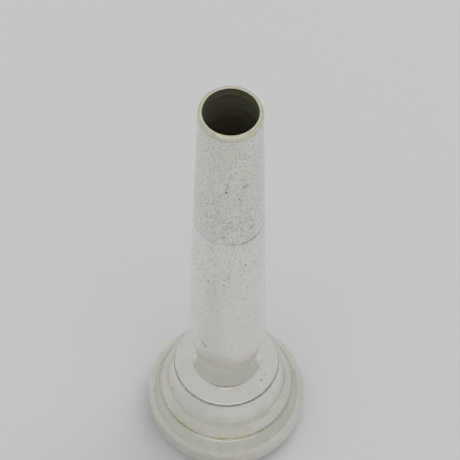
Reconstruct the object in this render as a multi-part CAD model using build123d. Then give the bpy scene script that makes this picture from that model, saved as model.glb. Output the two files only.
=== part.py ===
"""Modular trumpet mouthpiece, standing on its rim with the shank up.

Every piece is turned about Z. An outline is drawn with x as the radius and y as the height above the
rim's contact plane, and then revolved. All sizes are in millimetres.
"""
from build123d import *
import os

# Overall size and the shank's outside
LENGTH = 87.3              # rim contact plane to shank tip
TIP_R = 4.90               # outer radius at the tip
SHANK_TAPER = 0.025        # radius gained per millimetre down the sleeve, which is 1 in 20 on diameter
SLEEVE_LENGTH = 27.6
TIP_ROUND = 0.40
BARREL_TOP_R = 5.63
BARREL_FOOT_R = 6.47
BARREL_FOOT_Z = 26.9
NECK_FOOT_R = 5.88         # where the neck meets the shoulder
NECK_LOW_R, NECK_LOW_Z = 5.75, 16.5
NECK_WAIST_R, NECK_WAIST_Z = 5.62, 18.5
NECK_HIGH_R, NECK_HIGH_Z = 6.05, 22.5
COVE_R = 0.10              # inside round between neck and shoulder
EDGE_BREAK = 0.08          # small chamfer on the edges of a joint

# Shoulder, where the backbore meets the cup
SHOULDER_Z = 14.7
SHOULDER_R = 8.90
SHOULDER_EDGE = 0.25       # height of the shoulder's rim
SHOULDER_RISE = 0.80       # rise of the shoulder from its rim to the neck

# Cup outside: three turned steps, down to the joint with the rim
CUP_TOP_R = 8.95
CUP_WAIST_R, CUP_WAIST_Z = 9.85, 10.6
CUP_BEAD_R, CUP_BEAD_Z = 10.46, 9.9
CUP_FOOT_R = 11.29
RIM_JOINT_Z = 7.5

# Rim
RIM_R = 13.42              # outer radius of the band
BAND_LOW_Z = 2.6
BAND_HIGH_Z = 5.2
RIM_BACK_R = 11.45         # outer radius of the back face
CREST_IN_R = 10.05         # the flat land that rests on a surface
CREST_OUT_R = 10.35
BITE_R = 8.20              # inner edge of the rim
BITE_Z = 1.7

# Air passage
THROAT_R = 1.83
THROAT_LOW_Z = 13.8
THROAT_HIGH_Z = 21.8
BORE_TIP_R = 4.24
SEAT_BORE_R = 3.96         # passage radius at the seat's end

# Screwed joints: plain walls on the thread's pitch cylinder, for a 0.75 mm pitch
THREAD_GAP = 0.05          # radial clearance between male and female walls
END_GAP = 0.05             # axial clearance at the end of a spigot
RING_SECTION = 0.80        # thickness of both O-rings
RING_GAP = 0.02
GROOVE_WIDTH = 0.95
RIM_PITCH_R = 9.27
RIM_GUIDE_R = 9.65
RIM_SPIGOT_Z = 2.35        # low end of the cup's spigot
RIM_SOCKET_Z = 5.7         # where the socket widens for the guide
RIM_GROOVE_R = 8.85
RIM_GROOVE_Z = 6.1
SHANK_PITCH_R = 5.27
SHANK_GUIDE_R = 5.67
SHANK_SPIGOT_Z = 10.35
SHANK_SOCKET_Z = 13.25
SHANK_GROOVE_R = 4.87
SHANK_GROOVE_Z = 13.35

# Sleeve seat
SEAT_R = 4.50
SEAT_GAP = 0.02            # radial slip-fit clearance
SEAT_LENGTH = 17.6

# Values that follow from the ones above
STEP_Z = LENGTH - SLEEVE_LENGTH
SEAT_TOP_Z = STEP_Z + SEAT_LENGTH
SLEEVE_FOOT_R = TIP_R + SHANK_TAPER * SLEEVE_LENGTH


def turned(*edges):
    """Revolve a closed outline about Z."""
    outline = Plane.XZ * make_face(Wire.combine(edges)[0])
    return revolve(outline, Axis.Z)


def air_passage():
    """The space inside, from the bite of the rim to past the tip."""
    past_tip = LENGTH + 1
    past_r = BORE_TIP_R + (BORE_TIP_R - SEAT_BORE_R) / (LENGTH - SEAT_TOP_Z)
    bowl = Spline(
        (BITE_R, BITE_Z),
        (7.65, 4.3),
        (5.95, 8.0),
        (3.45, 10.9),
        (THROAT_R, THROAT_LOW_Z),
        tangents=((-0.12, 1), (0, 1)),
    )
    throat = Line((THROAT_R, THROAT_LOW_Z), (THROAT_R, THROAT_HIGH_Z))
    backbore = Spline(
        (THROAT_R, THROAT_HIGH_Z),
        (2.85, 40),
        (3.48, 58),
        (SEAT_BORE_R, SEAT_TOP_Z),
        (past_r, past_tip),
        tangents=((0.03, 1), (BORE_TIP_R - SEAT_BORE_R, LENGTH - SEAT_TOP_Z)),
    )
    closing = Polyline((past_r, past_tip), (0, past_tip), (0, BITE_Z), (BITE_R, BITE_Z))
    return turned(bowl, throat, backbore, closing)


def rim():
    """Screw rim: rounded contact face, outer band, and the socket for the cup's spigot."""
    outer_round = EllipticalCenterArc(
        (CREST_OUT_R, BAND_LOW_Z), RIM_R - CREST_OUT_R, BAND_LOW_Z, 270, arc_size=90
    )
    band = Line((RIM_R, BAND_LOW_Z), (RIM_R, BAND_HIGH_Z))
    back = ThreePointArc((RIM_R, BAND_HIGH_Z), (12.63, 6.51), (RIM_BACK_R, RIM_JOINT_Z))
    socket_r = RIM_PITCH_R + THREAD_GAP
    socket = Polyline(
        (RIM_BACK_R, RIM_JOINT_Z),
        (RIM_GUIDE_R + THREAD_GAP, RIM_JOINT_Z),
        (RIM_GUIDE_R + THREAD_GAP, RIM_SOCKET_Z),
        (socket_r, RIM_SOCKET_Z),
        (socket_r, RIM_SPIGOT_Z - END_GAP),
        (BITE_R - 1, RIM_SPIGOT_Z - END_GAP),
        (BITE_R - 1, BITE_Z),
        (BITE_R, BITE_Z),
    )
    inner_round = EllipticalCenterArc(
        (CREST_IN_R, BITE_Z), CREST_IN_R - BITE_R, BITE_Z, 180, arc_size=90
    )
    crest = Line((CREST_IN_R, 0), (CREST_OUT_R, 0))
    return turned(outer_round, band, back, socket, inner_round, crest) - air_passage()


def cup():
    """The bowl, with a spigot for the rim below and a socket for the backbore above."""
    spigot = Polyline(
        (0, RIM_SPIGOT_Z),
        (RIM_PITCH_R, RIM_SPIGOT_Z),
        (RIM_PITCH_R, RIM_GROOVE_Z),
        (RIM_GROOVE_R, RIM_GROOVE_Z),
        (RIM_GROOVE_R, RIM_GROOVE_Z + GROOVE_WIDTH),
        (RIM_GUIDE_R, RIM_GROOVE_Z + GROOVE_WIDTH),
        (RIM_GUIDE_R, RIM_JOINT_Z),
        (CUP_FOOT_R - EDGE_BREAK, RIM_JOINT_Z),
        (CUP_FOOT_R, RIM_JOINT_Z + EDGE_BREAK),
    )
    foot = ThreePointArc((CUP_FOOT_R, RIM_JOINT_Z + EDGE_BREAK), (11.0, 8.8), (CUP_BEAD_R, CUP_BEAD_Z))
    bead = ThreePointArc((CUP_BEAD_R, CUP_BEAD_Z), (10.25, 10.35), (CUP_WAIST_R, CUP_WAIST_Z))
    waist = ThreePointArc(
        (CUP_WAIST_R, CUP_WAIST_Z), (9.36, 12.5), (CUP_TOP_R, SHOULDER_Z - SHOULDER_EDGE)
    )
    socket_r = SHANK_PITCH_R + THREAD_GAP
    guide_r = SHANK_GUIDE_R + THREAD_GAP
    socket = Polyline(
        (CUP_TOP_R, SHOULDER_Z - SHOULDER_EDGE),
        (CUP_TOP_R - SHOULDER_EDGE, SHOULDER_Z),
        (guide_r, SHOULDER_Z),
        (guide_r, SHANK_SOCKET_Z),
        (socket_r, SHANK_SOCKET_Z),
        (socket_r, SHANK_SPIGOT_Z - END_GAP),
        (0, SHANK_SPIGOT_Z - END_GAP),
        (0, RIM_SPIGOT_Z),
    )
    return turned(spigot, foot, bead, waist, socket) - air_passage()


def backbore():
    """Threaded spigot, shoulder, neck, barrel and the seat that the sleeve slides onto."""
    spigot = Polyline(
        (0, SHANK_SPIGOT_Z),
        (SHANK_PITCH_R, SHANK_SPIGOT_Z),
        (SHANK_PITCH_R, SHANK_GROOVE_Z),
        (SHANK_GROOVE_R, SHANK_GROOVE_Z),
        (SHANK_GROOVE_R, SHANK_GROOVE_Z + GROOVE_WIDTH),
        (SHANK_GUIDE_R, SHANK_GROOVE_Z + GROOVE_WIDTH),
        (SHANK_GUIDE_R, SHOULDER_Z),
        (SHOULDER_R - EDGE_BREAK, SHOULDER_Z),
        (SHOULDER_R, SHOULDER_Z + EDGE_BREAK),
        (SHOULDER_R, SHOULDER_Z + SHOULDER_EDGE),
    )
    shoulder_top = SHOULDER_Z + SHOULDER_EDGE + SHOULDER_RISE
    cove = FilletPolyline(
        (SHOULDER_R, SHOULDER_Z + SHOULDER_EDGE),
        (NECK_FOOT_R, shoulder_top),
        (NECK_LOW_R, NECK_LOW_Z),
        radius=COVE_R,
    )
    neck = Spline(
        (NECK_LOW_R, NECK_LOW_Z),
        (NECK_WAIST_R, NECK_WAIST_Z),
        (NECK_HIGH_R, NECK_HIGH_Z),
        (BARREL_FOOT_R - EDGE_BREAK, BARREL_FOOT_Z),
        tangents=((-0.15, 1), (0.06, 1)),
    )
    barrel = Polyline(
        (BARREL_FOOT_R - EDGE_BREAK, BARREL_FOOT_Z),
        (BARREL_FOOT_R, BARREL_FOOT_Z + EDGE_BREAK),
        (BARREL_TOP_R, STEP_Z - EDGE_BREAK),
        (BARREL_TOP_R - EDGE_BREAK, STEP_Z),
        (SEAT_R, STEP_Z),
        (SEAT_R, SEAT_TOP_Z - EDGE_BREAK),
        (SEAT_R - EDGE_BREAK, SEAT_TOP_Z),
        (0, SEAT_TOP_Z),
        (0, SHANK_SPIGOT_Z),
    )
    return turned(spigot, cove, neck, barrel) - air_passage()


def shank_sleeve():
    """Tapered sleeve. It slides over the seat, rests on the barrel, and ends in the tip."""
    tip_face_r = TIP_R - TIP_ROUND
    outside = Polyline(
        (SEAT_R + SEAT_GAP, STEP_Z),
        (SLEEVE_FOOT_R - EDGE_BREAK, STEP_Z),
        (SLEEVE_FOOT_R, STEP_Z + EDGE_BREAK),
        (TIP_R, LENGTH - TIP_ROUND),
    )
    tip_round = RadiusArc((TIP_R, LENGTH - TIP_ROUND), (tip_face_r, LENGTH), -TIP_ROUND)
    inside = Polyline(
        (tip_face_r, LENGTH),
        (0, LENGTH),
        (0, SEAT_TOP_Z + END_GAP),
        (SEAT_R + SEAT_GAP, SEAT_TOP_Z + END_GAP),
        (SEAT_R + SEAT_GAP, STEP_Z),
    )
    return turned(outside, tip_round, inside) - air_passage()


def o_ring(groove_r, groove_z):
    """A round-section ring that lies in a spigot's groove."""
    centre_r = groove_r + RING_GAP + RING_SECTION / 2
    centre_z = groove_z + GROOVE_WIDTH / 2
    return Pos(0, 0, centre_z) * Torus(centre_r, RING_SECTION / 2)


PARTS = {
    "rim": rim(),
    "rim_o_ring": o_ring(RIM_GROOVE_R, RIM_GROOVE_Z),
    "cup": cup(),
    "shank_o_ring": o_ring(SHANK_GROOVE_R, SHANK_GROOVE_Z),
    "backbore": backbore(),
    "shank_sleeve": shank_sleeve(),
}

os.makedirs("parts", exist_ok=True)
for name, part in PARTS.items():
    part.label = name
    export_step(part, f"parts/{name}.step")
    print(name, round(part.volume, 1), part.is_valid)
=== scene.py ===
"""Looks for the modular trumpet mouthpiece: finely turned pieces, silver plate with pits, soft pale studio.

Outlines are in millimetres, as (radius, height) points above the rim's contact plane.
"""
import math

import bpy
import numpy as np
from mathutils import Matrix, Vector


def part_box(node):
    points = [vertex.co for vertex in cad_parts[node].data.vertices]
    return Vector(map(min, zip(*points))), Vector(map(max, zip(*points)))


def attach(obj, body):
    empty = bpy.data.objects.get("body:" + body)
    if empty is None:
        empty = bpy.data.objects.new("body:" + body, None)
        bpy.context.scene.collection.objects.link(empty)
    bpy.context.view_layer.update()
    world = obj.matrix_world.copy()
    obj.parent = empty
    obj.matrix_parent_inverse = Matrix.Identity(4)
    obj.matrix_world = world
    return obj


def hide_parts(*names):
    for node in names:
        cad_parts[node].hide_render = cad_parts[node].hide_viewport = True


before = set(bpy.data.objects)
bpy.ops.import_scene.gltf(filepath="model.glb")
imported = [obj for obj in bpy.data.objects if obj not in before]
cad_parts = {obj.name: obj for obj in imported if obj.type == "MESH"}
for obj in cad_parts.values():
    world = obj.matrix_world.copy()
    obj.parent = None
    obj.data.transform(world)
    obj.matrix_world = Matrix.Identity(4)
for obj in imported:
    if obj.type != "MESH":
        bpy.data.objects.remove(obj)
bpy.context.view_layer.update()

MM = 0.001
TAU = 2 * math.pi


def low(node):
    """Lowest height of a CAD node, in millimetres."""
    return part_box(node)[0][2] / MM


def top(node):
    """Highest height of a CAD node, in millimetres."""
    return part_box(node)[1][2] / MM


def reach(node):
    """Largest radius of a CAD node, in millimetres."""
    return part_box(node)[1][0] / MM


# Sizes that the frame gives
LENGTH = top("shank_sleeve")
STEP_Z = low("shank_sleeve")
SLEEVE_FOOT_R = reach("shank_sleeve")
SEAT_TOP_Z = top("backbore")
SHANK_SPIGOT_Z = low("backbore")
SHOULDER_Z = top("cup")
SHOULDER_R = reach("backbore")
CUP_FOOT_R = reach("cup")
RIM_SPIGOT_Z = low("cup")
RIM_JOINT_Z = top("rim")
RIM_R = reach("rim")

# Sizes of the outlines, the same as in the CAD model except for EDGE_WIDTH and the bends. A bend is
# a point that a curve between two faces passes through.
TIP_R = 4.90
TIP_ROUND = 0.40
BORE_TIP_R = 4.24
SEAT_BORE_R = 3.96         # passage radius at the seat's end
THROAT_R = 1.83
THROAT_LOW_Z = 13.8
THROAT_HIGH_Z = 21.8
BARREL_TOP_R = 5.63
BARREL_FOOT_R = 6.47
BARREL_FOOT_Z = 26.9
NECK_FOOT_R = 5.88
NECK_POINTS = [(5.75, 16.5), (5.62, 18.5), (6.05, 22.5)]
NECK_LOW_SLOPE, NECK_HIGH_SLOPE = -0.15, 0.06    # radius per height
COVE_R = 0.10              # inside round between neck and shoulder
EDGE_BREAK = 0.08          # small chamfer on the edges of a joint
SHOULDER_EDGE = 0.25       # height of the shoulder's rim, and the chamfer below it on the cup
SHOULDER_RISE = 0.80       # from the shoulder's rim to the neck
EDGE_WIDTH = 0.36          # how far the round of the shoulder's edge reaches inwards
CUP_TOP_R = 8.95
CUP_WAIST_R, CUP_WAIST_Z = 9.85, 10.6
CUP_BEAD_R, CUP_BEAD_Z = 10.46, 9.9
CUP_FOOT_BEND = (11.02, 8.8)
CUP_BEAD_BEND = (10.2, 10.28)
CUP_WAIST_BEND = (9.34, 12.6)
BAND_LOW_Z = 2.6
BAND_HIGH_Z = 5.2
RIM_BACK_BEND = (12.63, 6.51)
RIM_BACK_R = 11.45
CREST_IN_R = 10.05
CREST_OUT_R = 10.35
BITE_R = 8.20
BITE_Z = 1.7
SEAT_R = 4.50
SLIP_GAP = 0.02            # radial clearance between seat and sleeve

# Screwed joints and seals
PITCH = 0.75
THREAD_HEIGHT = 0.22       # crest or root, from the pitch cylinder
THREAD_LEAD = 0.1          # plain stretch before a male thread
THREAD_RUNOUT = 0.15       # plain stretch between a male thread and its groove
THREAD_FADE = 0.45         # height over which a thread starts or runs out
THREAD_GAP = 0.05          # radial clearance between male and female walls
END_GAP = 0.05             # axial clearance at the end of a spigot
RIM_PITCH_R = 9.27
RIM_GUIDE_R = 9.65
RIM_SOCKET_Z = 5.7
RIM_GROOVE_R = 8.85
RIM_GROOVE_Z = 6.1
SHANK_PITCH_R = 5.27
SHANK_GUIDE_R = 5.67
SHANK_SOCKET_Z = 13.25
SHANK_GROOVE_R = 4.87
SHANK_GROOVE_Z = 13.35
GROOVE_WIDTH = 0.95
RING_SECTION = 0.80        # thickness of both O-rings
RING_GAP = 0.02
FLASH_HEIGHT = 0.008       # how far the moulding line stands out

# Mesh density
STEP = 0.60                # longest row spacing along an outline
FINE_STEP = 0.055          # row spacing on threads
SEGMENTS = 224
SHARP_ANGLE = math.radians(38)

# Places of the materials in a turned piece's list
OUTSIDE, INSIDE, BORE, TIP = 0, 1, 2, 3


# Outlines

def straight(start, end, step=STEP):
    """Points from start towards end, without end itself, crowded a little near both ends."""
    start, end = np.array(start, float), np.array(end, float)
    count = max(2, math.ceil(np.linalg.norm(end - start) / step))
    share = np.arange(count) / count
    eased = 0.7 * share + 0.3 * (0.5 - 0.5 * np.cos(math.pi * share))
    return start + eased[:, None] * (end - start)


def rounded(points, rounds, step=STEP):
    """A run of straight lines with its inner corners rounded to the given radii."""
    points = [np.array(p, float) for p in points]
    run = []
    here = points[0]
    for before, corner, after, radius in zip(points, points[1:], points[2:], rounds):
        back = (before - corner) / np.linalg.norm(before - corner)
        ahead = (after - corner) / np.linalg.norm(after - corner)
        half = 0.5 * math.acos(np.clip(np.dot(back, ahead), -1, 1))
        cut = radius / math.tan(half)
        centre = corner + (back + ahead) / np.linalg.norm(back + ahead) * radius / math.sin(half)
        run.extend(straight(here, corner + back * cut, step))
        from_in = corner + back * cut - centre
        from_out = corner + ahead * cut - centre
        swing = math.atan2(from_in[0] * from_out[1] - from_in[1] * from_out[0], np.dot(from_in, from_out))
        count = max(3, math.ceil(abs(swing) / 0.2))
        for i in range(count):
            turn = swing * i / count
            c, s = math.cos(turn), math.sin(turn)
            run.append(centre + (from_in[0] * c - from_in[1] * s, from_in[0] * s + from_in[1] * c))
        here = corner + ahead * cut
    run.extend(straight(here, points[-1], step))
    return np.array(run)


def ellipse(centre, radii, start, end, count=22):
    """Points on an ellipse between two angles in degrees, without the last one."""
    angles = np.radians(np.linspace(start, end, count, endpoint=False))
    return np.column_stack((centre[0] + radii[0] * np.cos(angles), centre[1] + radii[1] * np.sin(angles)))


def bend(start, through, end, count=14):
    """A shallow curve from start to end by way of a middle point, without the end."""
    start, through, end = (np.array(p, float) for p in (start, through, end))
    control = 2 * through - 0.5 * (start + end)
    t = np.arange(count)[:, None] / count
    return (1 - t) ** 2 * start + 2 * t * (1 - t) * control + t ** 2 * end


def smooth_run(points, first_slope, last_slope, step=STEP):
    """A smooth curve of radius against height through the points. Slopes are radius per height."""
    radii, heights = np.array(points, float).T
    slopes = np.gradient(radii, heights)
    slopes[0], slopes[-1] = first_slope, last_slope
    run = []
    for i in range(len(points) - 1):
        rise = heights[i + 1] - heights[i]
        count = max(2, math.ceil(abs(rise) / step))
        t = np.arange(count) / count
        radius = (
            (2 * t ** 3 - 3 * t ** 2 + 1) * radii[i]
            + (t ** 3 - 2 * t ** 2 + t) * rise * slopes[i]
            + (3 * t ** 2 - 2 * t ** 3) * radii[i + 1]
            + (t ** 3 - t ** 2) * rise * slopes[i + 1]
        )
        run.append(np.column_stack((radius, heights[i] + t * rise)))
    return np.vstack(run)


PASSAGE_POINTS = [
    (BITE_R, BITE_Z),
    (7.65, 4.3),
    (5.95, 8.0),
    (3.45, 10.9),
    (THROAT_R, THROAT_LOW_Z),
    (THROAT_R, THROAT_HIGH_Z),
    (2.85, 40.0),
    (3.48, 58.0),
    (SEAT_BORE_R, SEAT_TOP_Z),
    (BORE_TIP_R, LENGTH),
]
TIP_SLOPE = (BORE_TIP_R - SEAT_BORE_R) / (LENGTH - SEAT_TOP_Z)


def whole_passage():
    """The air passage's wall from the bite to the tip, densely sampled."""
    bowl = smooth_run(PASSAGE_POINTS[:5], -0.12, 0, 0.05)
    throat = smooth_run(PASSAGE_POINTS[4:6], 0, 0, 0.2)
    backbore = smooth_run(PASSAGE_POINTS[5:], 0.03, TIP_SLOPE, 0.1)
    return np.vstack((bowl, throat, backbore, [PASSAGE_POINTS[-1]]))


PASSAGE = whole_passage()


def passage_radius(height):
    return float(np.interp(height, PASSAGE[:, 1], PASSAGE[:, 0]))


def passage(start, end, step=STEP):
    """The passage's wall between two heights, going either way, without the end."""
    count = max(3, math.ceil(abs(end - start) / step))
    heights = np.linspace(start, end, count, endpoint=False)
    return np.column_stack((np.interp(heights, PASSAGE[:, 1], PASSAGE[:, 0]), heights))


# Turned meshes

def thread_wave(heights, angles):
    """Right-hand 60 degree thread with flattened crests: -1 at the root and 1 at the crest."""
    turns = heights / PITCH - angles / TAU
    wave = 4 * np.abs(turns - np.floor(turns + 0.5)) - 1
    return np.clip(1.35 * wave, -1, 1)


def thread_window(heights, low_z, high_z):
    """1 along a thread between two heights, fading to 0 at both ends."""
    from_low = np.clip((heights - low_z) / THREAD_FADE, 0, 1)
    return from_low * np.clip((high_z - heights) / THREAD_FADE, 0, 1)


def male_thread(low_z, high_z):
    """Radius change of a male thread that starts and runs out smoothly between two heights."""
    def change(heights, angles):
        window = thread_window(heights, low_z, high_z)
        return THREAD_HEIGHT * (window * (1 + thread_wave(heights, angles)) - 1)
    return change


def female_thread(low_z, high_z):
    """The same for a female thread, which runs out to its larger radius."""
    def change(heights, angles):
        window = thread_window(heights, low_z, high_z)
        return THREAD_HEIGHT * (1 - window * (1 - thread_wave(heights, angles)))
    return change


def turned(name, sections, body, node, materials):
    """A closed mesh turned about Z from sections of (points, material index, radius change or None)."""
    angles = np.arange(SEGMENTS) * TAU / SEGMENTS
    radii, heights, indices = [], [], []
    for points, index, change in sections:
        points = np.asarray(points, float)
        r = np.repeat(points[:, :1], SEGMENTS, axis=1)
        z = np.repeat(points[:, 1:], SEGMENTS, axis=1)
        if change is not None:
            r = r + change(z, angles[None, :])
        radii.append(r)
        heights.append(z)
        indices.extend([index] * len(points))
    r, z = np.vstack(radii), np.vstack(heights)
    rows = len(r)
    across = angles[None, :]
    verts = np.stack((r * np.sin(across), -r * np.cos(across), z), axis=-1).reshape(-1, 3) * MM
    row = np.arange(rows)[:, None]
    column = np.arange(SEGMENTS)[None, :]
    next_row, next_column = (row + 1) % rows, (column + 1) % SEGMENTS
    corners = (
        row * SEGMENTS + column,
        row * SEGMENTS + next_column,
        next_row * SEGMENTS + next_column,
        next_row * SEGMENTS + column,
    )
    faces = np.stack(np.broadcast_arrays(*corners), axis=-1).reshape(-1, 4)
    mesh = bpy.data.meshes.new(name)
    mesh.from_pydata(verts.tolist(), [], faces.tolist())
    mesh.polygons.foreach_set("material_index", np.repeat(np.array(indices), SEGMENTS))
    mesh.polygons.foreach_set("use_smooth", np.ones(rows * SEGMENTS, bool))
    for material in materials:
        mesh.materials.append(material)
    mesh.update()
    mesh.set_sharp_from_angle(angle=SHARP_ANGLE)
    piece = bpy.data.objects.new(name, mesh)
    bpy.context.scene.collection.objects.link(piece)
    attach(piece, body)
    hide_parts(node)


def make_rim(materials):
    """Screw rim. The outline starts at the crest and runs up the outside, then down the inside."""
    back_edge = (RIM_BACK_R + 0.06, RIM_JOINT_Z - 0.05)
    outside = np.vstack((
        straight((CREST_IN_R, 0), (CREST_OUT_R, 0), 0.1),
        ellipse((CREST_OUT_R, BAND_LOW_Z), (RIM_R - CREST_OUT_R, BAND_LOW_Z), 270, 360),
        straight((RIM_R, BAND_LOW_Z), (RIM_R, BAND_HIGH_Z)),
        bend((RIM_R, BAND_HIGH_Z), RIM_BACK_BEND, back_edge),
        rounded([back_edge, (RIM_BACK_R, RIM_JOINT_Z), (RIM_BACK_R - 0.4, RIM_JOINT_Z)], [0.03], 0.1),
    ))
    guide_r = RIM_GUIDE_R + THREAD_GAP
    thread_r = RIM_PITCH_R + THREAD_GAP
    floor_z = RIM_SPIGOT_Z - END_GAP
    back = rounded(
        [(RIM_BACK_R - 0.4, RIM_JOINT_Z), (guide_r, RIM_JOINT_Z),
         (guide_r, RIM_SOCKET_Z), (thread_r + THREAD_HEIGHT, RIM_SOCKET_Z)],
        [0.10, 0.04], 0.2,
    )
    socket = straight((thread_r, RIM_SOCKET_Z), (thread_r, floor_z), FINE_STEP)
    floor = straight((thread_r + THREAD_HEIGHT, floor_z), (passage_radius(floor_z), floor_z), 0.2)
    bowl = passage(floor_z, BITE_Z, 0.1)
    bite = ellipse((CREST_IN_R, BITE_Z), (CREST_IN_R - BITE_R, BITE_Z), 180, 270)
    sections = [
        (outside, OUTSIDE, None),
        (back, INSIDE, None),
        (socket, INSIDE, female_thread(floor_z, RIM_SOCKET_Z)),
        (floor, INSIDE, None),
        (bowl, OUTSIDE, None),
        (bite, OUTSIDE, None),
    ]
    turned("rim_turned", sections, "rim", "rim", materials)


def make_cup(materials):
    """Cup. The outline starts at the spigot's low inner corner and runs up the outside."""
    root_r = RIM_PITCH_R - THREAD_HEIGHT
    thread_low = RIM_SPIGOT_Z + THREAD_LEAD
    thread_high = RIM_GROOVE_Z - THREAD_RUNOUT
    spigot_floor = rounded(
        [(passage_radius(RIM_SPIGOT_Z), RIM_SPIGOT_Z), (root_r, RIM_SPIGOT_Z), (root_r, thread_low)],
        [0.05], 0.2,
    )
    thread = straight((RIM_PITCH_R, thread_low), (RIM_PITCH_R, thread_high), FINE_STEP)
    groove_top = RIM_GROOVE_Z + GROOVE_WIDTH
    foot_top = (CUP_FOOT_R, RIM_JOINT_Z + 0.3)
    groove = rounded(
        [(root_r, thread_high), (root_r, RIM_GROOVE_Z), (RIM_GROOVE_R, RIM_GROOVE_Z),
         (RIM_GROOVE_R, groove_top), (RIM_GUIDE_R, groove_top), (RIM_GUIDE_R, RIM_JOINT_Z),
         (CUP_FOOT_R, RIM_JOINT_Z), foot_top],
        [0.03, 0.08, 0.08, 0.05, 0.05, 0.09], 0.2,
    )
    under_bead = (CUP_BEAD_R + 0.05, CUP_BEAD_Z - 0.1)
    over_waist = (CUP_WAIST_R - 0.06, CUP_WAIST_Z + 0.25)
    chamfer_z = SHOULDER_Z - SHOULDER_EDGE
    chamfer_r = CUP_TOP_R - SHOULDER_EDGE
    under_chamfer = (CUP_TOP_R, chamfer_z - 0.1)
    outside = np.vstack((
        bend(foot_top, CUP_FOOT_BEND, under_bead),
        rounded(
            [under_bead, (CUP_BEAD_R, CUP_BEAD_Z), CUP_BEAD_BEND, (CUP_WAIST_R, CUP_WAIST_Z), over_waist],
            [0.05, 0.12, 0.1], 0.1,
        ),
        bend(over_waist, CUP_WAIST_BEND, under_chamfer),
        rounded(
            [under_chamfer, (CUP_TOP_R, chamfer_z), (chamfer_r, SHOULDER_Z), (chamfer_r - 0.4, SHOULDER_Z)],
            [0.06, 0.04], 0.1,
        ),
    ))
    guide_r = SHANK_GUIDE_R + THREAD_GAP
    thread_r = SHANK_PITCH_R + THREAD_GAP
    floor_z = SHANK_SPIGOT_Z - END_GAP
    top_face = rounded(
        [(chamfer_r - 0.4, SHOULDER_Z), (guide_r, SHOULDER_Z),
         (guide_r, SHANK_SOCKET_Z), (thread_r + THREAD_HEIGHT, SHANK_SOCKET_Z)],
        [0.10, 0.04], 0.2,
    )
    socket = straight((thread_r, SHANK_SOCKET_Z), (thread_r, floor_z), FINE_STEP)
    floor = straight((thread_r + THREAD_HEIGHT, floor_z), (passage_radius(floor_z), floor_z), 0.2)
    bowl = passage(floor_z, RIM_SPIGOT_Z, 0.2)
    sections = [
        (spigot_floor, INSIDE, None),
        (thread, INSIDE, male_thread(thread_low, thread_high)),
        (groove, INSIDE, None),
        (outside, OUTSIDE, None),
        (top_face, INSIDE, None),
        (socket, INSIDE, female_thread(floor_z, SHANK_SOCKET_Z)),
        (floor, INSIDE, None),
        (bowl, OUTSIDE, None),
    ]
    turned("cup_turned", sections, "cup", "cup", materials)


def make_backbore(materials):
    """Backbore with its spigot, shoulder, neck, barrel and sleeve seat."""
    root_r = SHANK_PITCH_R - THREAD_HEIGHT
    thread_low = SHANK_SPIGOT_Z + THREAD_LEAD
    thread_high = SHANK_GROOVE_Z - THREAD_RUNOUT
    spigot_floor = rounded(
        [(passage_radius(SHANK_SPIGOT_Z), SHANK_SPIGOT_Z), (root_r, SHANK_SPIGOT_Z), (root_r, thread_low)],
        [0.05], 0.2,
    )
    thread = straight((SHANK_PITCH_R, thread_low), (SHANK_PITCH_R, thread_high), FINE_STEP)
    groove_top = SHANK_GROOVE_Z + GROOVE_WIDTH
    groove = rounded(
        [(root_r, thread_high), (root_r, SHANK_GROOVE_Z), (SHANK_GROOVE_R, SHANK_GROOVE_Z),
         (SHANK_GROOVE_R, groove_top), (SHANK_GUIDE_R, groove_top), (SHANK_GUIDE_R, SHOULDER_Z),
         (SHOULDER_R - 0.5, SHOULDER_Z)],
        [0.03, 0.08, 0.08, 0.05, 0.05], 0.2,
    )
    shoulder_top = SHOULDER_Z + SHOULDER_EDGE + SHOULDER_RISE
    edge_high = SHOULDER_Z + SHOULDER_EDGE + SHOULDER_RISE * EDGE_WIDTH / (SHOULDER_R - NECK_FOOT_R)
    edge_low = SHOULDER_Z + 0.02
    shoulder = np.vstack((
        straight((SHOULDER_R - 0.5, SHOULDER_Z), (SHOULDER_R - 0.02, SHOULDER_Z), 0.2),
        ellipse((SHOULDER_R - EDGE_WIDTH, edge_low), (EDGE_WIDTH, edge_high - edge_low), 0, 80, 12),
        rounded([(SHOULDER_R - EDGE_WIDTH, edge_high), (NECK_FOOT_R, shoulder_top), NECK_POINTS[0]],
                [COVE_R], 0.12),
    ))
    barrel_low = (BARREL_FOOT_R - EDGE_BREAK, BARREL_FOOT_Z)
    neck = smooth_run(NECK_POINTS + [barrel_low], NECK_LOW_SLOPE, NECK_HIGH_SLOPE, 0.2)
    barrel = rounded(
        [barrel_low, (BARREL_FOOT_R, BARREL_FOOT_Z + EDGE_BREAK), (BARREL_TOP_R, STEP_Z - EDGE_BREAK),
         (BARREL_TOP_R - EDGE_BREAK, STEP_Z), (SEAT_R + 0.2, STEP_Z)],
        [0.05, 0.05, 0.03],
    )
    seat = rounded(
        [(SEAT_R + 0.2, STEP_Z), (SEAT_R, STEP_Z), (SEAT_R, SEAT_TOP_Z - EDGE_BREAK),
         (SEAT_R - EDGE_BREAK, SEAT_TOP_Z), (SEAT_BORE_R, SEAT_TOP_Z)],
        [0.05, 0.03, 0.03],
    )
    bore = passage(SEAT_TOP_Z, SHANK_SPIGOT_Z, 0.9)
    sections = [
        (spigot_floor, INSIDE, None),
        (thread, INSIDE, male_thread(thread_low, thread_high)),
        (groove, INSIDE, None),
        (shoulder, OUTSIDE, None),
        (neck, OUTSIDE, None),
        (barrel, OUTSIDE, None),
        (seat, INSIDE, None),
        (bore, BORE, None),
    ]
    turned("backbore_turned", sections, "backbore", "backbore", materials)


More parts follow.
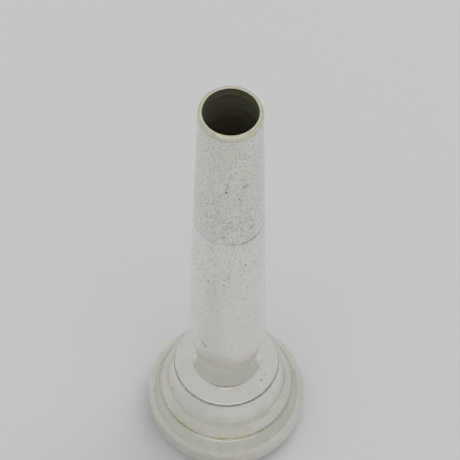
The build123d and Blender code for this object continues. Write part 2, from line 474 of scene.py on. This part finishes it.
def make_sleeve(materials):
    """Shank sleeve, from its foot up the outside to the tip and down the inside."""
    collar_z = LENGTH - 1.25 * TIP_ROUND
    collar_r = TIP_R + (SLEEVE_FOOT_R - TIP_R) * (LENGTH - collar_z) / (LENGTH - STEP_Z)
    lip_z = LENGTH - 0.25
    outside = rounded(
        [(SEAT_R + 0.3, STEP_Z), (SLEEVE_FOOT_R - EDGE_BREAK, STEP_Z),
         (SLEEVE_FOOT_R, STEP_Z + EDGE_BREAK), (collar_r, collar_z)],
        [0.03, 0.03],
    )
    tip = rounded(
        [(collar_r, collar_z), (TIP_R, LENGTH), (BORE_TIP_R + 0.06, LENGTH),
         (BORE_TIP_R - 0.005, LENGTH - 0.07), (passage_radius(lip_z), lip_z)],
        [TIP_ROUND, 0.04, 0.03], 0.1,
    )
    ledge_z = SEAT_TOP_Z + END_GAP
    bore = passage(lip_z, ledge_z, 0.2)
    inner_r = SEAT_R + SLIP_GAP
    seat = rounded(
        [(passage_radius(ledge_z), ledge_z), (inner_r, ledge_z), (inner_r, STEP_Z), (SEAT_R + 0.3, STEP_Z)],
        [0.05, 0.06],
    )
    sections = [
        (outside, OUTSIDE, None),
        (tip, TIP, None),
        (bore, BORE, None),
        (seat, INSIDE, None),
    ]
    turned("sleeve_turned", sections, "shank_sleeve", "shank_sleeve", materials)


def make_seal(name, node, groove_r, groove_z, material):
    """An O-ring with a fine moulding line round its inside and outside."""
    section = RING_SECTION / 2
    centre = (groove_r + RING_GAP + section, groove_z + GROOVE_WIDTH / 2)
    outline = ellipse(centre, (section, section), 0, 360, 36)
    flash = np.abs(outline[:, 1] - centre[1]) < 0.05
    outline[flash & (outline[:, 0] < centre[0]), 0] -= FLASH_HEIGHT
    outline[flash & (outline[:, 0] > centre[0]), 0] += FLASH_HEIGHT
    turned(name, [(outline, OUTSIDE, None)], node, node, [material])


# Materials

class Nodes:
    """Short calls for building a node tree."""

    def __init__(self, tree):
        self.tree = tree

    def add(self, kind, **settings):
        node = self.tree.nodes.new(kind)
        for name, value in settings.items():
            setattr(node, name, value)
        return node

    def feed(self, socket, value):
        """Link an output to a socket, or set the socket's own value."""
        if isinstance(value, bpy.types.NodeSocket):
            self.tree.links.new(value, socket)
        else:
            socket.default_value = value

    def math(self, operation, a, b=0.0, c=0.0, clamp=False):
        node = self.add("ShaderNodeMath", operation=operation, use_clamp=clamp)
        for socket, value in zip(node.inputs, (a, b, c)):
            self.feed(socket, value)
        return node.outputs[0]

    def mix(self, share, a, b):
        node = self.add("ShaderNodeMix", data_type="RGBA")
        self.feed(node.inputs[0], share)
        self.feed(node.inputs[6], a)
        self.feed(node.inputs[7], b)
        return node.outputs[2]

    def fade(self, value, start, end, out_start=0.0, out_end=1.0):
        """Value mapped smoothly from one range to another, clamped."""
        node = self.add("ShaderNodeMapRange", interpolation_type="SMOOTHSTEP")
        for socket, number in zip(node.inputs, (value, start, end, out_start, out_end)):
            self.feed(socket, number)
        return node.outputs[0]

    def noise(self, place, scale, detail=3.0, roughness=0.5):
        node = self.add("ShaderNodeTexNoise")
        self.feed(node.inputs["Vector"], place)
        self.feed(node.inputs["Scale"], scale)
        self.feed(node.inputs["Detail"], detail)
        self.feed(node.inputs["Roughness"], roughness)
        return node.outputs["Fac"]

    def cells(self, place, scale):
        """Distance to the nearest cell's middle, and two random values for that cell."""
        node = self.add("ShaderNodeTexVoronoi")
        self.feed(node.inputs["Vector"], place)
        self.feed(node.inputs["Scale"], scale)
        split = self.add("ShaderNodeSeparateColor")
        self.feed(split.inputs[0], node.outputs["Color"])
        return node.outputs["Distance"], split.outputs[0], split.outputs[1]

    def split(self, place):
        """A vector's x, y and z."""
        node = self.add("ShaderNodeSeparateXYZ")
        self.feed(node.inputs[0], place)
        return tuple(node.outputs)

    def stretch(self, place, scales):
        node = self.add("ShaderNodeVectorMath", operation="MULTIPLY")
        self.feed(node.inputs[0], place)
        self.feed(node.inputs[1], scales)
        return node.outputs[0]


def blank_material(name):
    """An empty material: its node helper, its Principled shader, and places in millimetres."""
    material = bpy.data.materials.new(name)
    material.use_nodes = True
    tree = material.node_tree
    tree.nodes.clear()
    kit = Nodes(tree)
    shader = kit.add("ShaderNodeBsdfPrincipled")
    output = kit.add("ShaderNodeOutputMaterial")
    tree.links.new(shader.outputs[0], output.inputs[0])
    where = kit.add("ShaderNodeTexCoord").outputs["Object"]
    place = kit.stretch(where, (1 / MM, 1 / MM, 1 / MM))
    return material, kit, shader, place


def pits(kit, place, scale, size, share):
    """Round pits of varied size: 1 in a pit. share is how many cells hold one, and may be a socket."""
    distance, pick, other = kit.cells(place, scale)
    chosen = kit.math("LESS_THAN", pick, share)
    width = kit.math("MULTIPLY_ADD", kit.math("MULTIPLY", other, other), 0.5 * size, 0.5 * size)
    inside = kit.fade(kit.math("DIVIDE", distance, width), 1.0, 0.55)
    return kit.math("MULTIPLY", chosen, inside)


def bump(kit, shader, layers):
    """Chain bump layers of (height, depth in metres)."""
    last = None
    for height, depth in layers:
        node = kit.add("ShaderNodeBump")
        node.inputs["Strength"].default_value = 1.0
        node.inputs["Distance"].default_value = depth
        kit.feed(node.inputs["Height"], height)
        if last is not None:
            kit.feed(node.inputs["Normal"], last)
        last = node.outputs["Normal"]
    kit.feed(shader.inputs["Normal"], last)


def mark(kit, angle, z, centre, length, width, lean=0.0):
    """1 on a soft-edged oval mark, 0 elsewhere.

    centre is (angle from the front towards +X in degrees, height, radius there) in millimetres, and
    lean turns the mark's long way from upright towards +X, in degrees.
    """
    degrees, height, radius = centre
    across = kit.math("MULTIPLY_ADD", angle, radius, -math.radians(degrees) * radius)
    up = kit.math("SUBTRACT", z, height)
    c, s = math.cos(math.radians(lean)), math.sin(math.radians(lean))
    along = kit.math("ADD", kit.math("MULTIPLY", up, c / length), kit.math("MULTIPLY", across, s / length))
    beside = kit.math("SUBTRACT", kit.math("MULTIPLY", across, c / width),
                      kit.math("MULTIPLY", up, s / width))
    from_centre = kit.math("ADD", kit.math("MULTIPLY", along, along), kit.math("MULTIPLY", beside, beside))
    return kit.fade(from_centre, 0.28, 0.12)


# Colour of pits and marks, also of the painted shade in joint lines and at the neck's foot.
PIT_MARK_AND_SHADE_COLOUR = (0.10, 0.09, 0.065, 1)
PIT_DEPTH = 0.00003
STAIN_COLOUR = (0.76, 0.735, 0.60, 1)
MOTTLE_COLOUR = (0.42, 0.40, 0.33, 1)


def silver(name, colour, shade, gloss, pit_share, pit_size, coarse_share, mottle, polish_depth, marks,
           swarms=()):
    """Silver plate with turning lines, pits, a faint tarnish and its own few marks.

    gloss is the lowest and highest roughness, pit_share the share of cells with a fine pit, low and high
    up, coarse_share how many larger pits come with them, and mottle the strength of a fine grey mottling.
    Each mark is (centre, length, width, lean, strength), see mark(). A swarm, (centre, length, width), is
    a patch with many more pits.
    """
    material, kit, shader, place = blank_material(name)
    x, y, z = kit.split(place)
    clouds = kit.noise(place, 0.22, 4.0, 0.55)
    rings = kit.noise(kit.stretch(place, (0.12, 0.12, 7.0)), 1.0, 3.0, 0.6)
    grain = kit.noise(place, 6.0, 2.0)
    angle = kit.math("ARCTAN2", x, kit.math("MULTIPLY", y, -1.0))
    patches = kit.noise(place, 0.35, 3.0, 0.6)
    share = kit.math("MULTIPLY", kit.fade(z, 30.0, 54.0, pit_share[0], pit_share[1]),
                     kit.fade(patches, 0.38, 0.62, 0.5, 1.0))
    for centre, length, width in swarms:
        swarm = kit.math("MULTIPLY", mark(kit, angle, z, centre, length, width), 0.95)
        share = kit.math("MAXIMUM", share, swarm)
    fine = pits(kit, place, 2.4, pit_size, share)
    coarse = pits(kit, place, 1.2, pit_size * 0.6, kit.math("MULTIPLY", share, coarse_share))
    pits_marks_and_shade = kit.math("MAXIMUM", kit.math("MULTIPLY", fine, 0.75), coarse)
    ragged = kit.fade(kit.noise(place, 3.5, 2.0), 0.36, 0.56, 0.25, 1.0)
    # The marks include painted shade in joint lines and at the neck's foot, which joins the pits here.
    for centre, length, width, lean, strength in marks:
        shape = mark(kit, angle, z, centre, length, width, lean)
        shape = kit.math("MULTIPLY", shape, kit.math("MULTIPLY", ragged, strength))
        pits_marks_and_shade = kit.math("MAXIMUM", pits_marks_and_shade, shape)
    tarnish = kit.fade(clouds, 0.45, 0.75)
    tone = kit.mix(kit.math("MULTIPLY", tarnish, 0.55), colour, shade)
    low_stain = kit.math("MULTIPLY", kit.fade(z, 13.5, 10.5), kit.fade(patches, 0.35, 0.6, 0.35, 1.0))
    tone = kit.mix(kit.math("MULTIPLY", low_stain, 0.6), tone, STAIN_COLOUR)
    lined = kit.mix(kit.math("MULTIPLY", kit.fade(rings, 0.35, 0.7), 0.16), tone, shade)
    speckle = kit.fade(kit.noise(place, 3.2, 2.0, 0.7), 0.48, 0.66, 0.0, mottle)
    lined = kit.mix(speckle, lined, MOTTLE_COLOUR)
    painted = kit.mix(kit.math("MULTIPLY", pits_marks_and_shade, 0.9), lined, PIT_MARK_AND_SHADE_COLOUR)
    kit.feed(shader.inputs["Base Color"], painted)
    shader.inputs["Metallic"].default_value = 1.0
    rough = kit.math("ADD", kit.fade(grain, 0.3, 0.7, gloss[0], gloss[1]),
                     kit.math("MULTIPLY", pits_marks_and_shade, 0.25), clamp=True)
    kit.feed(shader.inputs["Roughness"], rough)
    bump(kit, shader, [
        (rings, polish_depth),
        (kit.math("SUBTRACT", 1.0, pits_marks_and_shade), PIT_DEPTH),
        (grain, polish_depth * 0.6),
    ])
    return material


# Marks on the metal, and painted shade in joint lines and a corner, as (centre, length, width, lean,
# strength). See mark().

ALL_ROUND = 1000           # wide enough to go right round a piece
BARREL_MARKS_AND_SHADE = [
    ((-38, 29.2, 6.4), 1.3, 0.7, -42, 0.35),       # nick low on the barrel
    ((-34, 28.5, 6.4), 0.7, 0.6, 0, 0.55),
    ((38, 59.5, 5.63), 0.5, 4.6, 0, 0.5),          # smear along the sleeve joint
    ((55, 15.4, 7.1), 0.16, 0.42, 0, 0.7),         # two specks on the shoulder
    ((65, 15.4, 7.1), 0.12, 0.32, 0, 0.6),
    ((-68, 11.1, 9.8), 0.9, 0.9, 0, 0.35),         # brown stain on the cup
    ((0, 59.68, 5.6), 0.20, ALL_ROUND, 0, 0.15),   # dark joint lines, partly tarnish and partly painted shade in the narrow grooves
    ((42, 59.68, 5.6), 0.35, 4.5, 0, 0.6),
    ((0, 14.70, 8.9), 0.55, ALL_ROUND, 0, 0.75),
    ((0, 7.50, 11.4), 0.25, ALL_ROUND, 0, 0.25),
    ((0, 15.86, 5.88), 0.3, 7.5, 0, 0.6),          # painted shade in the corner at the neck's foot
]
SLEEVE_MARKS = [
    ((-3.5, 75.0, 5.2), 2.8, 0.17, 7, 0.75),       # upright scratch with a dent at its foot
    ((-5, 73.7, 5.2), 0.6, 0.5, 0, 1.0),
    ((27, 74.6, 5.2), 1.5, 1.0, 72, 0.45),         # smear beside it
    ((40, 63.0, 5.5), 0.8, 0.8, 0, 0.5),           # spot near the sleeve's foot
    ((0, 86.6, 4.9), 0.6, ALL_ROUND, 0, 0.3),      # tarnish under the worn end
]
SLEEVE_SWARMS = [            # as (centre, length, width)
    ((2, 62.6, 5.5), 2.6, 5.0),
    ((-22, 62.0, 5.5), 2.0, 3.0),
    ((0, 66.0, 5.4), 17.0, 18.0),
]


def bore_finish():
    """The passage wall: brown-grey tarnish over reamer rings."""
    material, kit, shader, place = blank_material("tarnished_bore")
    rings = kit.noise(kit.stretch(place, (0.05, 0.05, 1.6)), 1.0, 4.0, 0.65)
    clouds = kit.noise(place, 0.5, 3.0)
    tone = kit.mix(kit.fade(rings, 0.35, 0.65), (0.20, 0.185, 0.135, 1), (0.38, 0.36, 0.28, 1))
    tone = kit.mix(kit.math("MULTIPLY", kit.fade(clouds, 0.4, 0.7), 0.5), tone, (0.22, 0.19, 0.13, 1))
    kit.feed(shader.inputs["Base Color"], tone)
    shader.inputs["Metallic"].default_value = 0.45
    kit.feed(shader.inputs["Roughness"], kit.fade(clouds, 0.3, 0.7, 0.42, 0.6))
    bump(kit, shader, [(rings, 0.00004)])
    return material


def worn_finish():
    """The tip's rounded end: plate rubbed thin over brass, with fine lines round it."""
    material, kit, shader, place = blank_material("worn_tip")
    x, y, z = kit.split(place)
    radius = kit.math("SQRT", kit.math("ADD", kit.math("MULTIPLY", x, x), kit.math("MULTIPLY", y, y)))
    ring = kit.add("ShaderNodeCombineXYZ")
    kit.feed(ring.inputs[0], kit.math("MULTIPLY", radius, 9.0))
    kit.feed(ring.inputs[2], kit.math("MULTIPLY", z, 9.0))
    lines = kit.noise(ring.outputs[0], 1.0, 2.0, 0.6)
    clouds = kit.noise(place, 0.8, 3.0)
    tone = kit.mix(kit.fade(clouds, 0.35, 0.65), (0.91, 0.885, 0.79, 1), (0.85, 0.79, 0.63, 1))
    tone = kit.mix(kit.math("MULTIPLY", kit.fade(lines, 0.5, 0.62), 0.35), tone, (0.45, 0.38, 0.24, 1))
    kit.feed(shader.inputs["Base Color"], tone)
    shader.inputs["Metallic"].default_value = 1.0
    kit.feed(shader.inputs["Roughness"], kit.fade(clouds, 0.3, 0.7, 0.10, 0.2))
    bump(kit, shader, [(lines, 0.000006)])
    return material


def machined_finish():
    """Hidden faces, threads and the seat: brighter plate straight from the tool, with fine lines."""
    material, kit, shader, place = blank_material("machined_silver")
    lines = kit.noise(kit.stretch(place, (0.3, 0.3, 14.0)), 1.0, 2.0)
    clouds = kit.noise(place, 0.6, 3.0)
    tone = kit.mix(kit.fade(clouds, 0.35, 0.7), (0.83, 0.81, 0.74, 1), (0.70, 0.64, 0.50, 1))
    kit.feed(shader.inputs["Base Color"], tone)
    shader.inputs["Metallic"].default_value = 1.0
    kit.feed(shader.inputs["Roughness"], kit.fade(lines, 0.3, 0.7, 0.22, 0.40))
    bump(kit, shader, [(lines, 0.000006)])
    return material


def rubber_finish():
    """Black nitrile with a trace of grease."""
    material, kit, shader, place = blank_material("ring_rubber")
    clouds = kit.noise(place, 1.5, 3.0)
    tone = kit.mix(clouds, (0.012, 0.012, 0.012, 1), (0.035, 0.034, 0.032, 1))
    kit.feed(shader.inputs["Base Color"], tone)
    kit.feed(shader.inputs["Roughness"], kit.fade(clouds, 0.35, 0.65, 0.30, 0.52))
    bump(kit, shader, [(kit.noise(place, 9.0, 2.0), 0.000008)])
    return material


# Studio

def make_floor():
    """A pale seamless table top, level with the rim's contact plane."""
    mesh = bpy.data.meshes.new("table_top")
    half = 1.5
    corners = [(-half, -half, 0), (half, -half, 0), (half, half, 0), (-half, half, 0)]
    mesh.from_pydata(corners, [], [(0, 1, 2, 3)])
    material, kit, shader, place = blank_material("table_top")
    grain = kit.noise(place, 0.8, 4.0)
    tone = kit.mix(grain, (0.831, 0.826, 0.838, 1), (0.846, 0.840, 0.852, 1))
    kit.feed(shader.inputs["Base Color"], tone)
    shader.inputs["Roughness"].default_value = 0.85
    shader.inputs["Specular IOR Level"].default_value = 0.2
    mesh.materials.append(material)
    floor = bpy.data.objects.new("table_top", mesh)
    bpy.context.scene.collection.objects.link(floor)


HORIZON_TONE = (0.46, 0.470, 0.46, 1)
MIDDLE_TONE = (0.468, 0.497, 0.490, 1)
HIGH_TONE = (0.536, 0.548, 0.542, 1)
FLANK_TONE = (0.60, 0.625, 0.61, 1)
BACK_TONE = (0.65, 0.65, 0.61, 1)
STRIP_TONE = (1.0, 1.0, 0.97, 1)
VIEWER_TONE = (0.50, 0.505, 0.50, 1)


def make_world():
    """Soft light from all round, brighter high up, with a bright strip overhead on the viewer's side."""
    world = bpy.data.worlds.new("soft_studio")
    bpy.context.scene.world = world
    world.use_nodes = True
    tree = world.node_tree
    tree.nodes.clear()
    kit = Nodes(tree)
    across, depth, height = kit.split(kit.add("ShaderNodeTexCoord").outputs["Generated"])
    across = kit.math("ABSOLUTE", across)

    def patch(*shares):
        """The part of the sky where every one of the shares is high."""
        together = shares[0]
        for share in shares[1:]:
            together = kit.math("MULTIPLY", together, share)
        return together

    layers = [
        (kit.fade(height, 0.70, 0.80), HIGH_TONE),
        (patch(kit.fade(depth, 0.42, 0.54), kit.fade(height, 0.36, 0.50)), HIGH_TONE),
        (patch(kit.fade(depth, 0.20, 0.42), kit.fade(height, 0.40, 0.50), kit.fade(across, 0.48, 0.60)),
         FLANK_TONE),
        (patch(kit.fade(depth, 0.42, 0.54), kit.fade(height, 0.76, 0.83)), BACK_TONE),
        (patch(kit.fade(depth, -0.10, -0.28), kit.fade(height, 0.77, 0.84), kit.fade(across, 0.55, 0.35)),
         STRIP_TONE),
        (patch(kit.fade(depth, -0.6, -0.9), kit.fade(height, 0.28, 0.1)), VIEWER_TONE),
    ]
    tone = kit.mix(kit.fade(height, 0.0, 0.35), HORIZON_TONE, MIDDLE_TONE)
    for share, colour in layers:
        tone = kit.mix(share, tone, colour)
    background = kit.add("ShaderNodeBackground")
    kit.feed(background.inputs[0], tone)
    background.inputs[1].default_value = 1.0
    output = kit.add("ShaderNodeOutputWorld")
    tree.links.new(background.outputs[0], output.inputs[0])


def make_softbox(name, place, aim, size, power):
    """A round softbox that lights the object and doesn't show in its reflections."""
    light = bpy.data.lights.new(name, "AREA")
    light.shape = "DISK"
    light.size = size
    light.energy = power
    holder = bpy.data.objects.new(name, light)
    holder.location = place
    holder.rotation_euler = (Vector(aim) - Vector(place)).to_track_quat("-Z", "Y").to_euler()
    holder.visible_glossy = False
    bpy.context.scene.collection.objects.link(holder)


CAMERA_BACK = 218.95       # from the axis, in millimetres
CAMERA_RISE = 304.7        # above the tip
CAMERA_DIP = math.radians(56.94)
CAMERA_LEAN = 0.0177
CAMERA_YAW = 0.0009


def make_camera():
    """A long lens, looking down on the tip from the front."""
    data = bpy.data.cameras.new("camera")
    data.sensor_width = 36.0
    data.lens = 200.0
    data.shift_y = -0.0011
    camera = bpy.data.objects.new("camera", data)
    place = Vector((0, -CAMERA_BACK * MM, (LENGTH + CAMERA_RISE) * MM))
    turn = (
        Matrix.Rotation(-CAMERA_YAW, 4, "Z")
        @ Matrix.Rotation(math.pi / 2 - CAMERA_DIP, 4, "X")
        @ Matrix.Rotation(CAMERA_LEAN, 4, "Z")
    )
    camera.matrix_world = Matrix.Translation(place) @ turn
    bpy.context.scene.collection.objects.link(camera)
    bpy.context.scene.camera = camera


make_camera()
make_floor()
make_world()
make_softbox("back_softbox", (0.45, 0.55, 0.9), (0, 0, 0.03), 0.9, 1.9)

view = bpy.context.scene.view_settings
view.view_transform = "Standard"
view.look = "None"

polished = silver(
    "polished_silver", colour=(0.910, 0.880, 0.840, 1), shade=(0.85, 0.815, 0.76, 1), gloss=(0.05, 0.12),
    pit_share=(0.05, 0.95), pit_size=0.38, coarse_share=0.5, mottle=0.05, polish_depth=0.000002,
    marks=BARREL_MARKS_AND_SHADE,
)
satin = silver(
    "satin_silver", colour=(0.895, 0.872, 0.82, 1), shade=(0.845, 0.805, 0.73, 1), gloss=(0.20, 0.32),
    pit_share=(0.35, 0.35), pit_size=0.34, coarse_share=0.2, mottle=0.5, polish_depth=0.000006,
    marks=SLEEVE_MARKS, swarms=SLEEVE_SWARMS,
)
machined = machined_finish()
bore = bore_finish()
worn = worn_finish()
rubber = rubber_finish()

# Pieces. Their materials stand in the order of OUTSIDE, INSIDE, BORE and TIP.
make_rim([polished, machined])
make_cup([polished, machined])
make_backbore([polished, machined, bore])
make_sleeve([satin, machined, bore, worn])
make_seal("rim_seal", "rim_o_ring", RIM_GROOVE_R, RIM_GROOVE_Z, rubber)
make_seal("shank_seal", "shank_o_ring", SHANK_GROOVE_R, SHANK_GROOVE_Z, rubber)
